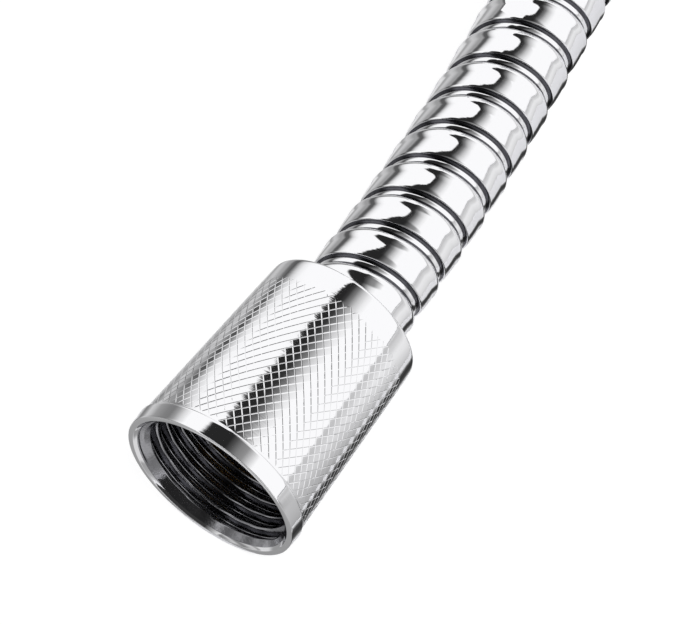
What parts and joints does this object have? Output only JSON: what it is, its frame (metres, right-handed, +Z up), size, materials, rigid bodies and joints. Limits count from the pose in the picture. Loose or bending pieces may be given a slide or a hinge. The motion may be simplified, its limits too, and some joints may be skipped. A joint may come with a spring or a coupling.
{
  "type": "shower hose",
  "caption": "Flexible stripwound metal shower hose, laid in a coil, with a knurled conical swivel nut on one end and a hexagonal swivel nut on the other.",
  "frame": {"origin": "on the plane the hose lies on, under the middle of the conical nut", "axes": "+Y along the end fitting's axis, from the conical nut's mouth towards the hose; +Z up; the coil lies towards +Y and -X"},
  "size_m": [0.1895, 0.2279, 0.043],
  "materials": {
    "chrome_plate": "mirror chrome plate",
    "ferrule_steel": "polished drawn stainless steel",
    "hose_steel": "polished stripwound stainless steel",
    "spigot_brass": "turned brass",
    "washer_rubber": "matt moulded rubber",
    "inner_hose_rubber": "matt extruded rubber",
    "slip_ring_nylon": "moulded nylon"
  },
  "bodies": {
    "hose": {"hose_run": "hose_steel", "hose_coil": "hose_steel", "hose_tail": "hose_steel", "cone_washer": "washer_rubber", "cone_spigot": "spigot_brass", "cone_inner_hose_end": "inner_hose_rubber", "cone_ferrule": "ferrule_steel", "hex_washer": "washer_rubber", "hex_spigot": "spigot_brass", "hex_inner_hose_end": "inner_hose_rubber", "hex_ferrule": "ferrule_steel"},
    "cone_ring": {"cone_slip_ring": "slip_ring_nylon"},
    "cone_nut_body": {"cone_nut": "chrome_plate"},
    "hex_ring": {"hex_slip_ring": "slip_ring_nylon"},
    "hex_nut_body": {"hex_nut": "chrome_plate"}
  },
  "joints": [
    {"name": "cone_nut_slide", "type": "slide", "parent": "hose", "child": "cone_ring", "axis": [0, 1, 0], "range_m": [0, 0.008]},
    {"name": "cone_nut_spin", "type": "hinge", "parent": "cone_ring", "child": "cone_nut_body", "pos_m": [0, -0.0138, 0.0116], "axis": [0, 1, 0], "continuous": true},
    {"name": "hex_nut_slide", "type": "slide", "parent": "hose", "child": "hex_ring", "axis": [0, 1, 0], "range_m": [0, 0.009]},
    {"name": "hex_nut_spin", "type": "hinge", "parent": "hex_ring", "child": "hex_nut_body", "pos_m": [-0.164, -0.009, 0.012], "axis": [0, 1, 0], "continuous": true}
  ]
}
